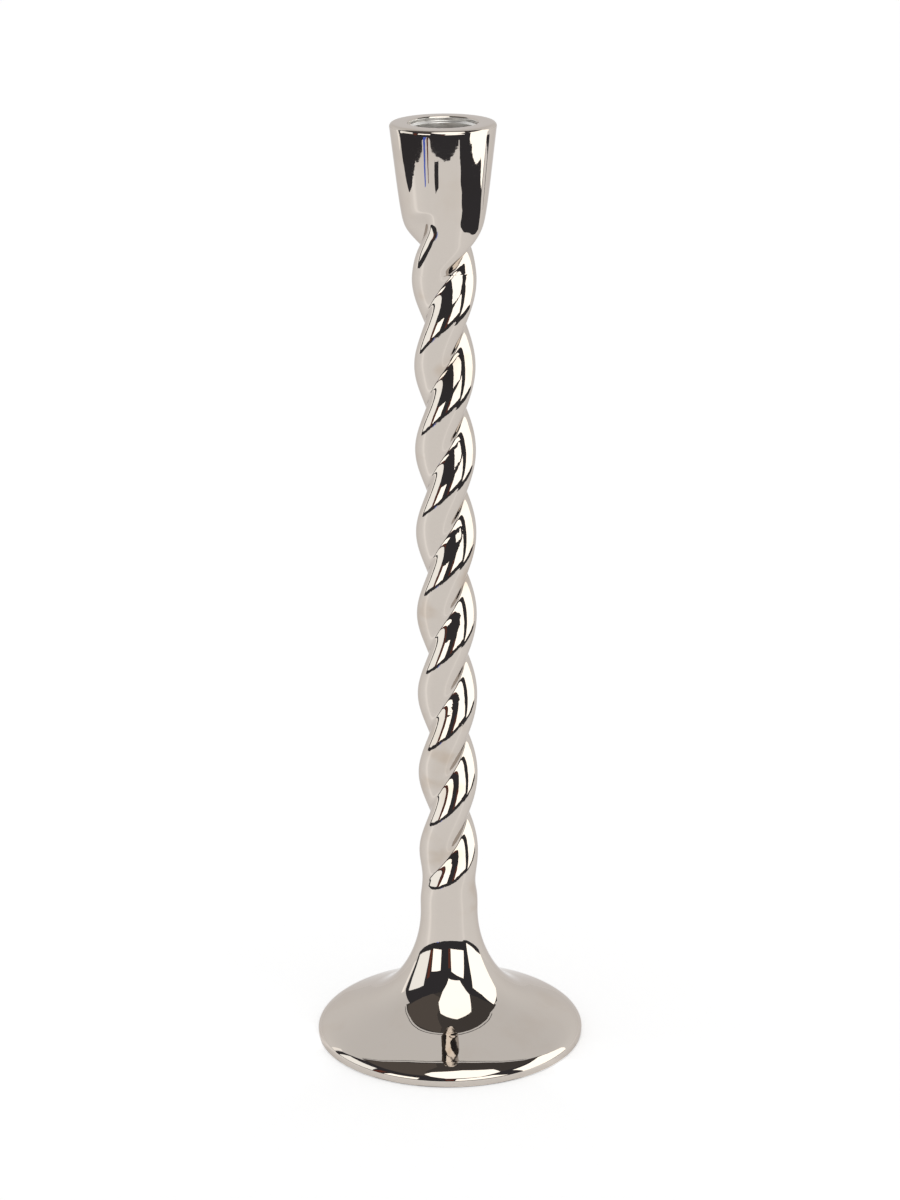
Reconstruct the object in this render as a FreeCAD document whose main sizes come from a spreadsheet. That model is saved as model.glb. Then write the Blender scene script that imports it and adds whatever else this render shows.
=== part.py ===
"""Spiral candle holder: a polished metal candlestick whose stem is two strands twisted together.

Millimetres, +Z up. The origin is the middle of the underside, on the table.
From the top down the pieces are the candle cup, its screw, the twisted stem, the foot, the bolt with its
two washers, and the backing disc and felt pad that close the foot from below.
"""
import FreeCAD, Part
import math
import os
import Sketcher

Vector = FreeCAD.Vector
SHEET = "Sizes"

# Driving sizes, lengths in millimetres and angles in degrees.
SIZES = {
    "total_height": 340.0,
    # felt and backing under the foot
    "felt_thickness": 1.0,
    "felt_overhang": 0.4,
    "backing_thickness": 2.0,
    "backing_clearance": 0.2,
    # foot: heights from the felt up, and the radii of its outline's corners and of their roundings
    "edge_height": 2.35,
    "apron_rise": 13.95,
    "flare_rise": 19.8,
    "neck_length": 12.9,
    "foot_radius": 49.05,
    "apron_corner_radius": 21.9,
    "neck_radius": 10.5,
    "edge_roll_radius": 3.2,
    "apron_bend_radius": 24.0,
    "flare_radius": 38.0,
    # hollow under the foot
    "seat_depth": 28.0,
    "seat_radius": 11.5,
    "rebate_wall": 3.85,
    "rebate_ledge": 1.7,
    "knee_inset": 1.4,
    "knee_drop": 3.3,
    # two strands twisted together
    "strand_radius": 7.3,
    "strand_offset": 3.45,
    "turn_height": 60.78,
    "crossing_height": 269.7,
    "groove_end_length": 20.0,
    "swell_length": 26.0,
    # candle cup
    "cup_height": 52.0,
    "cup_root_length": 26.0,
    "cup_root_radius": 15.5,
    "rim_radius": 18.74,
    "rim_edge_radius": 0.9,
    "lip_radius": 12.0,
    "lip_chamfer": 0.5,
    "lip_depth": 1.6,
    "socket_radius": 11.25,
    "socket_depth": 22.0,
    # registers that centre one casting in the next
    "foot_spigot_radius": 7.0,
    "foot_spigot_length": 4.0,
    "cup_spigot_radius": 4.6,
    "cup_spigot_length": 3.0,
    "register_clearance": 0.1,
    "register_end_gap": 0.3,
    # cap screw that holds the cup
    "cup_screw_radius": 3.0,
    "cup_screw_length": 40.0,
    "cup_screw_head_radius": 5.0,
    "cup_screw_head_height": 6.0,
    "cup_screw_key_width": 5.0,
    "cup_screw_key_depth": 3.0,
    "cup_screw_sink_depth": 7.0,
    # hexagon bolt that holds the foot
    "foot_bolt_radius": 4.0,
    "foot_bolt_length": 50.0,
    "foot_bolt_head_width": 13.0,
    "foot_bolt_head_height": 5.3,
    "flat_washer_radius": 8.0,
    "flat_washer_thickness": 1.6,
    "lock_washer_radius": 7.4,
    "lock_washer_thickness": 2.0,
    "lock_washer_gap": 1.2,
    # fits
    "hole_clearance": 0.25,
    "thread_clearance": 0.05,
    "thread_run_out": 3.0,
    "head_clearance": 0.5,
    "cut_overrun": 5.0,
}

# Heights and radii that several pieces share.
APRON_CORNER = "({felt_thickness} + {edge_height} + {apron_rise})"
FOOT_TOP = "({felt_thickness} + {edge_height} + {apron_rise} + {flare_rise} + {neck_length})"
FOOT_SEAT = f"({FOOT_TOP} - {{seat_depth}})"
FOOT_BOLT_SEAT = f"({FOOT_SEAT} - {{flat_washer_thickness}} - {{lock_washer_thickness}})"
REBATE_RADIUS = "({foot_radius} - {rebate_wall})"
CUP_LOW = "({total_height} - {cup_height})"
CUP_FLOOR = "({total_height} - {socket_depth})"
CUP_SCREW_SEAT = "({total_height} - {socket_depth} - {cup_screw_sink_depth})"

# Sections of the twist: share of the zone's height, share of the strands' offset, share of the swell.
GROOVE_END_SHARES = (
    (0.0, 0.0, 1.0),
    (0.15, 0.0, 0.9),
    (0.3, 0.16, 0.6),
    (0.45, 0.36, 0.3),
    (0.6, 0.58, 0.1),
    (0.8, 0.86, 0.0),
)
SWELL_SHARES = (
    (0.0, 1.0, 0.0),
    (0.25, 1.0, 0.03),
    (0.5, 1.0, 0.063),
    (0.75, 1.0, 0.09),
    (1.0, 1.0, 0.115),
)
CUP_ROOT_SHARES = (
    (0.0, 1.0, 0.115),
    (0.154, 0.96, 0.19),
    (0.308, 0.87, 0.305),
    (0.446, 0.745, 0.39),
    (0.538, 0.725, 0.545),
    (0.615, 0.71, 0.715),
    (0.692, 0.61, 0.78),
    (0.769, 0.465, 0.83),
    (0.846, 0.25, 0.875),
    (0.923, 0.04, 0.925),
    (1.0, 0.0, 1.0),
)
SECTIONS_PER_TURN = 8
HEX_SIDES = 6
# A sketch's own numbers for its axes, for the points of an edge, and for its root point.
V_AXIS, H_AXIS = range(-2, 0)
START, END, CENTRE = range(1, 4)
ROOT_POINT = (H_AXIS, START)


def cell(text):
    """An expression in which each size's name is read from the sheet."""
    return text.format(**{name: f"<<{SHEET}>>.{name}" for name in SIZES})


def value_of(text):
    """The number that an expression in the sizes comes to."""
    return FreeCAD.Units.Quantity(text.format(**SIZES)).Value


def bind(thing, path, text):
    """Bind one property of an object to an expression on the sheet."""
    thing.setExpression(path, cell(text))


def make_sheet(doc):
    """The spreadsheet that holds every driving size under its own alias."""
    sheet = doc.addObject("Spreadsheet::Sheet", SHEET)
    sheet.Label = SHEET
    for row, (name, value) in enumerate(SIZES.items(), 1):
        sheet.set(f"A{row}", name)
        sheet.set(f"B{row}", str(value))
        sheet.setAlias(f"B{row}", name)
    doc.recompute()
    return sheet


def make_body(doc, label):
    """An empty body whose label names the piece's node and file."""
    body = doc.addObject("PartDesign::Body", label)
    body.Label = label
    return body


def origin_plane(body, role):
    """One of the body's own origin planes, found by its role."""
    return next(f for f in body.Origin.OriginFeatures if f.Role == role)


def new_sketch(body, name, role, height="0"):
    """A sketch on one of the body's origin planes, raised by an expression."""
    sketch = body.newObject("Sketcher::SketchObject", name)
    sketch.AttachmentSupport = [(origin_plane(body, role), "")]
    sketch.MapMode = "FlatFace"
    bind(sketch, "AttachmentOffset.Base.z", height)
    return sketch


def corner_arc(before, corner, after, radius):
    """The arc that rounds a corner between its neighbours, and its ends in the outline's order."""
    back = (before - corner).normalize()
    on = (after - corner).normalize()
    half = back.getAngle(on) / 2
    reach = radius / math.tan(half)
    middle = corner + (back + on).normalize() * (radius / math.sin(half) - radius)
    ends = (START, END) if on.cross(back).z > 0 else (END, START)
    return Part.Arc(corner + back * reach, middle, corner + on * reach), ends


def outline(sketch, corners):
    """A closed outline through (radius, height) corners, each bound. A third value rounds its corner."""
    points = [Vector(value_of(corner[0]), value_of(corner[1]), 0) for corner in corners]
    count = len(points)
    for i in range(count):
        sketch.addGeometry(Part.LineSegment(points[i], points[(i + 1) % count]))
    for i, corner in enumerate(corners):
        if len(corner) == 2:
            sketch.addConstraint(Sketcher.Constraint("Coincident", i - 1 if i else count - 1, END, i, START))
            place(sketch, i, START, "X", corner[0])
            place(sketch, i, START, "Y", corner[1])
        else:
            round_corner(sketch, points, i, *corner)


def round_corner(sketch, points, i, x, z, rounding):
    """Round a corner of an outline with an arc that touches the lines on both sides of it."""
    arc, ends = corner_arc(points[i - 1], points[i], points[(i + 1) % len(points)], value_of(rounding))
    spot = sketch.addGeometry(Part.Point(points[i]), True)
    place(sketch, spot, START, "X", x)
    place(sketch, spot, START, "Y", z)
    for line in (i - 1, i):
        sketch.addConstraint(Sketcher.Constraint("PointOnObject", spot, START, line))
    bend = sketch.addGeometry(arc)
    sketch.addConstraint(Sketcher.Constraint("Tangent", i - 1, END, bend, ends[0]))
    sketch.addConstraint(Sketcher.Constraint("Tangent", bend, ends[1], i, START))
    at = sketch.addConstraint(Sketcher.Constraint("Radius", bend, value_of(rounding)))
    bind(sketch, f"Constraints[{at}]", rounding)


def place(sketch, edge, end, axis, text):
    """Hold one point of an edge at a distance from the sketch's axis, bound to the sheet."""
    if text == "0":
        line = V_AXIS if axis == "X" else H_AXIS
        sketch.addConstraint(Sketcher.Constraint("PointOnObject", edge, end, line))
        return
    distance = Sketcher.Constraint("Distance" + axis, *ROOT_POINT, edge, end, value_of(text))
    bind(sketch, f"Constraints[{sketch.addConstraint(distance)}]", text)


def turn(body, name, corners, kind="Revolution"):
    """Turn an outline of (radius, height) corners about the vertical axis, adding or cutting."""
    sketch = new_sketch(body, name + "_outline", "XZ_Plane")
    outline(sketch, corners)
    feature = body.newObject("PartDesign::" + kind, name)
    feature.Profile = sketch
    feature.ReferenceAxis = (sketch, ["V_Axis"])
    feature.Angle = 360.0
    body.Document.recompute()
    return feature


def disc(body, name, radius, low, high, kind="Revolution"):
    """A plain round solid or cut between two heights."""
    corners = (("0", low), (radius, low), (radius, high), ("0", high))
    return turn(body, name, corners, kind)


def hexagon(body, name, width, height):
    """A sketch of a hexagon of the given width across its flats, at the given height."""
    sketch = new_sketch(body, name, "XY_Plane", height)
    reach = value_of(width) / 2 / math.cos(math.pi / HEX_SIDES)
    points = []
    for i in range(HEX_SIDES):
        angle = 2 * math.pi * i / HEX_SIDES
        points.append(Vector(reach * math.cos(angle), reach * math.sin(angle), 0))
    for i in range(HEX_SIDES):
        sketch.addGeometry(Part.LineSegment(points[i], points[(i + 1) % HEX_SIDES]))
    ring = sketch.addGeometry(Part.Circle(Vector(), Vector(0, 0, 1), reach), True)
    for i in range(HEX_SIDES):
        sketch.addConstraint(Sketcher.Constraint("Coincident", i, END, (i + 1) % HEX_SIDES, START))
        sketch.addConstraint(Sketcher.Constraint("PointOnObject", i, START, ring))
    for i in range(1, HEX_SIDES):
        sketch.addConstraint(Sketcher.Constraint("Equal", 0, i))
    sketch.addConstraint(Sketcher.Constraint("Coincident", ring, CENTRE, *ROOT_POINT))
    sketch.addConstraint(Sketcher.Constraint("PointOnObject", 0, START, H_AXIS))
    at = sketch.addConstraint(Sketcher.Constraint("Radius", ring, reach))
    bind(sketch, f"Constraints[{at}]", f"{width} / 2 / cos(180 / {HEX_SIDES})")
    return sketch


def strand_section(body, index, height, offset_share, swell_share, end_radius):
    """One level section through the two strands: two arcs that meet in the grooves.

    Each strand is a circle set off the axis. Its crown is the circle's far side. The swell share carries the
    crown from the plain twist to the end radius, and the offset share takes the grooves' depth away.
    """
    offset = f"{{strand_offset}} * {offset_share}"
    plain = f"({{strand_radius}} + {{strand_offset}}) * {1 - swell_share}"
    radius = f"{plain} + {end_radius} * {swell_share} - {offset}"
    sketch = new_sketch(body, f"section_{index:02d}", "XY_Plane", height)
    angle = f"360 * ({height} - {{crossing_height}}) / {{turn_height}}"
    bind(sketch, "AttachmentOffset.Rotation.Angle", f"({angle}) * 1 deg")
    away = value_of(offset)
    bend = value_of(radius)
    waist = math.sqrt(bend * bend - away * away)
    for side in (1, -1):
        groove = Vector(side * waist, 0, 0)
        crown = Vector(0, side * (away + bend), 0)
        arc = sketch.addGeometry(Part.Arc(groove, crown, -groove))
        place(sketch, arc, CENTRE, "X", "0")
        place(sketch, arc, CENTRE, "Y", f"{side} * {offset}" if offset_share else "0")
        place(sketch, arc, START, "Y", "0")
        place(sketch, arc, END, "Y", "0")
        at = sketch.addConstraint(Sketcher.Constraint("Radius", arc, bend))
        bind(sketch, f"Constraints[{at}]", radius)
    return sketch


def strand_loft(body, name, sections):
    """Loft the level sections of the twist into one smooth solid."""
    loft = body.newObject("PartDesign::AdditiveLoft", name)
    loft.Profile = sections[0]
    loft.Sections = sections[1:]
    body.Document.recompute()
    return loft


def make_stem(doc):
    """The twisted stem: plain twist, grooves that run out in a round neck, a swell under the cup."""
    body = make_body(doc, "twisted_stem")
    plain_low = f"({FOOT_TOP} + {{groove_end_length}})"
    plain_high = f"({CUP_LOW} - {{swell_length}})"
    plain_length = value_of(plain_high) - value_of(plain_low)
    steps = math.ceil(plain_length * SECTIONS_PER_TURN / SIZES["turn_height"])
    sections = []
    for share, offset, swell in GROOVE_END_SHARES:
        height = f"({FOOT_TOP} + {{groove_end_length}} * {share})"
        sections.append(strand_section(body, len(sections), height, offset, swell, "{neck_radius}"))
    for step in range(steps):
        height = f"({plain_low} + ({plain_high} - {plain_low}) * {step} / {steps})"
        sections.append(strand_section(body, len(sections), height, 1.0, 0.0, "{neck_radius}"))
    for share, offset, swell in SWELL_SHARES:
        height = f"({plain_high} + {{swell_length}} * {share})"
        sections.append(strand_section(body, len(sections), height, offset, swell, "{cup_root_radius}"))
    strand_loft(body, "twist", sections)
    spigot_low = f"{FOOT_TOP} - {{foot_spigot_length}}"
    disc(body, "foot_spigot", "{foot_spigot_radius}", spigot_low, FOOT_TOP)
    disc(body, "cup_spigot", "{cup_spigot_radius}", CUP_LOW, f"{CUP_LOW} + {{cup_spigot_length}}")
    bolt_end = f"{FOOT_BOLT_SEAT} + {{foot_bolt_length}} + {{thread_run_out}}"
    bolt_hole = "{foot_bolt_radius} + {thread_clearance}"
    disc(body, "foot_bolt_hole", bolt_hole, spigot_low, bolt_end, "Groove")
    screw_end = f"{CUP_SCREW_SEAT} - {{cup_screw_length}} - {{thread_run_out}}"
    screw_hole = "{cup_screw_radius} + {thread_clearance}"
    disc(body, "cup_screw_hole", screw_hole, screw_end, f"{CUP_LOW} + {{cup_spigot_length}}", "Groove")
    return body


def make_cup(doc):
    """The candle cup: a tapered wall on a root where the two strands swell and join."""
    body = make_body(doc, "candle_cup")
    root_top = f"({CUP_LOW} + {{cup_root_length}})"
    wall = (
        ("0", root_top),
        ("{cup_root_radius}", root_top),
        ("{rim_radius}", "{total_height}", "{rim_edge_radius}"),
        ("0", "{total_height}"),
    )
    turn(body, "wall", wall)
    sections = []
    for share, offset, swell in CUP_ROOT_SHARES:
        height = f"({CUP_LOW} + {{cup_root_length}} * {share})"
        sections.append(strand_section(body, len(sections), height, offset, swell, "{cup_root_radius}"))
    strand_loft(body, "root", sections)
    head = "{cup_screw_head_radius} + {head_clearance}"
    shank = "{cup_screw_radius} + {hole_clearance}"
    register = "{cup_spigot_radius} + {register_clearance}"
    register_top = f"{CUP_LOW} + {{cup_spigot_length}} + {{register_end_gap}}"
    bores = (
        ("0", f"{CUP_LOW} - {{cut_overrun}}"),
        (register, f"{CUP_LOW} - {{cut_overrun}}"),
        (register, register_top),
        (shank, register_top),
        (shank, CUP_SCREW_SEAT),
        (head, CUP_SCREW_SEAT),
        (head, CUP_FLOOR),
        ("{socket_radius}", CUP_FLOOR),
        ("{socket_radius}", "{total_height} - {lip_depth}"),
        ("{lip_radius}", "{total_height} - {lip_depth} + {lip_radius} - {socket_radius}"),
        ("{lip_radius}", "{total_height} - {lip_chamfer}"),
        ("{lip_radius} + {lip_chamfer}", "{total_height}"),
        ("0", "{total_height}"),
    )
    turn(body, "socket", bores, "Groove")
    return body


def make_foot(doc):
    """The foot: a trumpet that flares to a shallow apron with a rolled edge, hollow underneath."""
    body = make_body(doc, "foot")
    corners = (
        ("0", "{felt_thickness}"),
        ("{foot_radius}", "{felt_thickness}"),
        ("{foot_radius}", "{felt_thickness} + {edge_height}", "{edge_roll_radius}"),
        ("{apron_corner_radius}", APRON_CORNER, "{apron_bend_radius}"),
        ("{neck_radius}", f"{FOOT_TOP} - {{neck_length}}", "{flare_radius}"),
        ("{neck_radius}", FOOT_TOP),
        ("0", FOOT_TOP),
    )
    turn(body, "trumpet", corners)
    rebate_top = "{felt_thickness} + {backing_thickness}"
    register = "{foot_spigot_radius} + {register_clearance}"
    register_low = f"{FOOT_TOP} - {{foot_spigot_length}} - {{register_end_gap}}"
    shank = "{foot_bolt_radius} + {hole_clearance}"
    hollow = (
        ("0", "{felt_thickness} - {cut_overrun}"),
        (REBATE_RADIUS, "{felt_thickness} - {cut_overrun}"),
        (REBATE_RADIUS, rebate_top),
        (f"{REBATE_RADIUS} - {{rebate_ledge}}", rebate_top),
        ("{apron_corner_radius} - {knee_inset}", f"{APRON_CORNER} - {{knee_drop}}"),
        ("{seat_radius}", FOOT_SEAT),
        (shank, FOOT_SEAT),
        (shank, register_low),
        (register, register_low),
        (register, f"{FOOT_TOP} + {{cut_overrun}}"),
        ("0", f"{FOOT_TOP} + {{cut_overrun}}"),
    )
    turn(body, "hollow", hollow, "Groove")
    return body


def make_cup_screw(doc):
    """The socket cap screw that draws the cup down on the stem."""
    body = make_body(doc, "cup_screw")
    top = f"{CUP_SCREW_SEAT} + {{cup_screw_head_height}}"
    corners = (
        ("0", f"{CUP_SCREW_SEAT} - {{cup_screw_length}}"),
        ("{cup_screw_radius}", f"{CUP_SCREW_SEAT} - {{cup_screw_length}}"),
        ("{cup_screw_radius}", CUP_SCREW_SEAT),
        ("{cup_screw_head_radius}", CUP_SCREW_SEAT),
        ("{cup_screw_head_radius}", top),
        ("0", top),
    )
    turn(body, "screw", corners)
    key = body.newObject("PartDesign::Pocket", "key_socket")
    key.Profile = hexagon(body, "key_outline", "{cup_screw_key_width}", top)
    bind(key, "Length", "{cup_screw_key_depth}")
    doc.recompute()
    return body


def make_foot_bolt(doc):
    """The hexagon bolt that goes up through the foot into the stem."""
    body = make_body(doc, "foot_bolt")
    disc(body, "shank", "{foot_bolt_radius}", FOOT_BOLT_SEAT, f"{FOOT_BOLT_SEAT} + {{foot_bolt_length}}")
    head = body.newObject("PartDesign::Pad", "head")
    head.Profile = hexagon(body, "head_outline", "{foot_bolt_head_width}", FOOT_BOLT_SEAT)
    head.Reversed = True
    bind(head, "Length", "{foot_bolt_head_height}")
    doc.recompute()
    return body


def make_washer(doc, label, radius, low, high):
    """A round washer on the foot's bolt."""
    body = make_body(doc, label)
    hole = "{foot_bolt_radius} + {hole_clearance}"
    turn(body, "ring", ((hole, low), (radius, low), (radius, high), (hole, high)))
    return body


def make_flat_washer(doc):
    """The plain washer against the foot's seat."""
    low = f"({FOOT_SEAT} - {{flat_washer_thickness}})"
    return make_washer(doc, "flat_washer", "{flat_washer_radius}", low, FOOT_SEAT)


def make_lock_washer(doc):
    """The spring washer under the bolt's head, split at one side."""
    low = FOOT_BOLT_SEAT
    high = f"({FOOT_SEAT} - {{flat_washer_thickness}})"
    body = make_washer(doc, "lock_washer", "{lock_washer_radius}", low, high)
    split = body.newObject("PartDesign::Pocket", "split")
    sketch = new_sketch(body, "split_outline", "XY_Plane", high)
    half = "{lock_washer_gap} / 2"
    far = "{lock_washer_radius} + {cut_overrun}"
    outline(sketch, (("0", f"-{half}"), (far, f"-{half}"), (far, half), ("0", half)))
    split.Profile = sketch
    bind(split, "Length", "{lock_washer_thickness}")
    doc.recompute()
    return body


def make_backing_disc(doc):
    """The card disc that closes the hollow and carries the felt."""
    body = make_body(doc, "backing_disc")
    high = "{felt_thickness} + {backing_thickness}"
    radius = f"{REBATE_RADIUS} - {{backing_clearance}}"
    disc(body, "card", radius, "{felt_thickness}", high)
    return body


def make_felt_pad(doc):
    """The felt disc that the candlestick stands on."""
    body = make_body(doc, "felt_pad")
    disc(body, "felt", "{foot_radius} + {felt_overhang}", "0", "{felt_thickness}")
    return body


MAKERS = (
    make_cup,
    make_cup_screw,
    make_stem,
    make_foot,
    make_foot_bolt,
    make_flat_washer,
    make_lock_washer,
    make_backing_disc,
    make_felt_pad,
)


def check(doc, bodies):
    """Stop unless every object was computed and every piece is one valid solid."""
    for thing in doc.Objects:
        if "Invalid" in thing.State or "Error" in thing.State:
            raise RuntimeError(f"{thing.Label} failed: {thing.State}")
    for body in bodies:
        shape = body.Shape
        if shape.isNull() or not shape.isValid() or len(shape.Solids) != 1:
            raise RuntimeError(f"{body.Label} is not one valid solid")


def main():
    """Build every piece, check it and write its file."""
    doc = FreeCAD.newDocument("spiral_candle_holder")
    make_sheet(doc)
    bodies = [make(doc) for make in MAKERS]
    doc.recompute()
    check(doc, bodies)
    os.makedirs("parts", exist_ok=True)
    for body in bodies:
        body.Shape.exportStep(f"parts/{body.Label}.step")
        box = body.Shape.BoundBox
        print(f"{body.Label}: {body.Shape.Volume:.0f} mm3, z {box.ZMin:.2f} to {box.ZMax:.2f}")


main()
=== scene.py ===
"""The looks of the spiral candle holder: mirror-bright nickel castings, zinc-plated screws, board and felt.

Lengths are in metres, in the frame's own axes. The castings are worked out again here as fine surfaces,
because a mirror finish would show the flats of a coarser mesh.
"""
import bpy
import math
import numpy as np
from mathutils import Matrix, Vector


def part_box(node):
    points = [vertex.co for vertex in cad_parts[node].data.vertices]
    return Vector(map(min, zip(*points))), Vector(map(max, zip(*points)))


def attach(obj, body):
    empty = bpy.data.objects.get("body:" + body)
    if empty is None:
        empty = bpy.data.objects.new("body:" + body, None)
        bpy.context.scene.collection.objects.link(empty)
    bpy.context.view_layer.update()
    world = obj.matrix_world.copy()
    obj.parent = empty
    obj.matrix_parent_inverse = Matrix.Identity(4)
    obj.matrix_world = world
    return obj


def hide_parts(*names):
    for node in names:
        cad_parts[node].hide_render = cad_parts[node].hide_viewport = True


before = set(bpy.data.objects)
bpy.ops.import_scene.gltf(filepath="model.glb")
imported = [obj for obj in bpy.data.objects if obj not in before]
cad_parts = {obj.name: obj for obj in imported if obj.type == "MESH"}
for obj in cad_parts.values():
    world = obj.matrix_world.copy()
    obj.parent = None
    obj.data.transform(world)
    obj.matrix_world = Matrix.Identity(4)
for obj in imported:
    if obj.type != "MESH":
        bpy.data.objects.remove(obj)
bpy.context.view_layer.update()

MM = 0.001

# Heights and radii read from the frame.
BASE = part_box("felt_pad")[0][2]
FELT_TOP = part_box("felt_pad")[1][2]
FELT_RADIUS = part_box("felt_pad")[1][0]
FOOT_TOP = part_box("foot")[1][2]
FOOT_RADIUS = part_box("foot")[1][0]
CUP_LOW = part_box("candle_cup")[0][2]
CUP_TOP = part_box("candle_cup")[1][2]
RIM_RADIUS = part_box("candle_cup")[1][0]

# The twist: each strand is a round bar set off the axis, and the pair turns once in TURN. At CROSSING one
# strand lies straight behind the other. The fillet in the grooves is a share of the strands' offset.
STRAND_RADIUS = 7.3 * MM
STRAND_OFFSET = 3.45 * MM
TURN = 60.78 * MM
CROSSING = 269.7 * MM
FILLET_SHARE = 0.2

# Stations of the twist from the foot up: height, depth of the grooves and crown radius in mm, and how
# narrow the grooves are, as a power on the plain twist's own groove.
STATIONS = np.array((
    (50.0, 0.0, 10.5, 1.0),
    (52.0, 0.0, 10.52, 1.0),
    (54.0, 0.12, 10.55, 1.0),
    (57.0, 0.5, 10.6, 1.0),
    (60.0, 1.15, 10.66, 1.0),
    (63.0, 1.95, 10.7, 1.0),
    (66.0, 2.75, 10.73, 1.0),
    (70.0, 3.55, 10.75, 1.0),
    (74.0, 4.05, 10.75, 1.0),
    (78.0, 4.26, 10.75, 1.0),
    (82.0, 4.29, 10.75, 1.0),
    (262.0, 4.29, 10.75, 1.0),
    (268.5, 4.28, 10.89, 1.0),
    (275.0, 4.26, 11.05, 1.0),
    (281.5, 4.22, 11.18, 1.0),
    (288.0, 4.25, 11.35, 1.0),
    (292.0, 4.45, 11.65, 1.2),
    (296.0, 4.9, 12.12, 1.6),
    (300.0, 5.3, 12.85, 2.2),
    (303.0, 5.25, 13.56, 2.7),
    (305.5, 4.6, 14.09, 3.2),
    (307.5, 3.45, 14.45, 3.7),
    (309.2, 1.9, 14.75, 4.2),
    (310.6, 0.6, 14.97, 4.6),
    (311.8, 0.0, 15.16, 5.0),
    (320.0, 0.0, 16.25, 5.0),
)) * (MM, MM, MM, 1)

# How far the twist runs ahead near the cup: height in mm and degrees.
LEAD = np.array((
    (0.0, 0.0), (284.0, 0.0), (288.0, 3.0), (292.0, 9.0), (296.0, 15.0), (300.0, 19.5), (303.0, 19.0),
    (306.0, 13.5), (309.0, 7.0), (312.0, 2.5), (316.0, 0.0), (360.0, 0.0),
)) * (MM, math.pi / 180)

# The joint line between stem and cup: how far up and down its edges are eased, and to what share of the
# radius.
EASED_HEIGHT = 0.2 * MM
EASED_SHARE = 0.998

# The stem's spigots, the faces round them, and its holes for the bolt from below and the screw from above.
FOOT_SPIGOT_RADIUS, FOOT_SPIGOT_LENGTH, NECK_FACE_RADIUS = 7.0 * MM, 4.0 * MM, 9.8 * MM
CUP_SPIGOT_RADIUS, CUP_SPIGOT_LENGTH, STEM_FACE_RADIUS = 4.6 * MM, 3.0 * MM, 7.5 * MM
SPIGOT_EDGE = 0.4 * MM
BOLT_HOLE_RADIUS, BOLT_HOLE_END, BOLT_HOLE_TIP = 4.05 * MM, 71.4 * MM, 1.5 * MM
SCREW_HOLE_RADIUS, SCREW_HOLE_END, SCREW_HOLE_TIP = 3.05 * MM, 268.0 * MM, 1.2 * MM
SCREW_MOUTH_RADIUS = 3.6 * MM
HOLE_MOUTH = 0.6 * MM

# The cup above its root: the rim, the eased lip and the socket, with depths from the rim down.
ROOT_TOP, ROOT_TOP_RADIUS = 318 * MM, 16.0 * MM
RIM_ROUNDING = 1.3 * MM
LIP_RADIUS, LIP_DEPTH = 12.0 * MM, 1.6 * MM
LIP_EASED_OUT, LIP_EASED_DOWN = 0.35 * MM, 0.5 * MM
LEDGE_DROP = 0.5 * MM
LIP_EDGE = 0.3 * MM
SOCKET_RADIUS, SOCKET_DEPTH, SOCKET_EDGE = 11.25 * MM, 22 * MM, 0.15 * MM

# The cup's bore for its screw, and the register that takes the stem's spigot.
HEAD_BORE_RADIUS, HEAD_BORE_DEPTH = 5.5 * MM, 29 * MM
SCREW_BORE_RADIUS = 3.25 * MM
CUP_REGISTER_RADIUS, CUP_REGISTER_LENGTH = 4.7 * MM, 3.3 * MM
CUP_FACE_RADIUS = 7.0 * MM

# The satin part of the socket, whose lighter colour is painted light: its widest radius, and where it starts
# and ends below the rim.
SATIN_RADIUS, SATIN_START, SATIN_END = 12.2 * MM, 0.45 * MM, 22.1 * MM

# The foot outside: neck, trumpet, apron and rolled edge.
NECK_RADIUS, NECK_LOW = 10.5 * MM, 37.1 * MM
TRUMPET_BEND, KNEE_BEND = 44.0 * MM, 34.0 * MM
FOOT_KNEE = np.array((21.9, 17.0)) * MM
FOOT_CORNER = np.array((FOOT_RADIUS, 4.9 * MM))
ROLL_START, ROLL_PULL_IN = 7.0 * MM, 2.2 * MM
ROLL_END, ROLL_PULL_DOWN = 2.9 * MM, 1.0 * MM

# The foot underneath: the thin lip round the felt, the board's rebate, the hollow and the bolt's seat.
FELT_CUT = FELT_RADIUS - 0.85 * MM
FELT_GAP = 0.1 * MM
FOOT_LIP_LIFT, FOOT_LIP_EDGE = 0.3 * MM, 0.12 * MM
REBATE_RADIUS, REBATE_TOP = 45.2 * MM, 3.0 * MM
HOLLOW_RADIUS = 43.5 * MM
HOLLOW_KNEE, HOLLOW_BEND = (20.5 * MM, 14.0 * MM), 3.0 * MM
SEAT_RADIUS, SEAT_HEIGHT = 11.5 * MM, 22.0 * MM
BOLT_BORE_RADIUS = 4.25 * MM
FOOT_REGISTER_RADIUS, FOOT_REGISTER_DEPTH = 7.1 * MM, 4.3 * MM

# The felt disc: the rounding of its edge, and the ring round its middle that closes in a fan.
FELT_EDGE, FELT_MIDDLE = 0.3 * MM, 2 * MM

# How fine the meshes are: columns round a piece, rows along the twist, and the longest run between rows.
# CROWDING draws a strand pair's columns towards its grooves. Edges that bend more than SHARP stay sharp.
STEM_COLUMNS, STEM_ROWS = 176, 530
CUP_COLUMNS, ROOT_ROWS = 352, 180
FOOT_COLUMNS, FELT_COLUMNS = 360, 240
WALL_RUN, FELT_RUN = 2.0 * MM, 3 * MM
CROWDING = 0.38
SHARP = math.radians(42)


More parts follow.
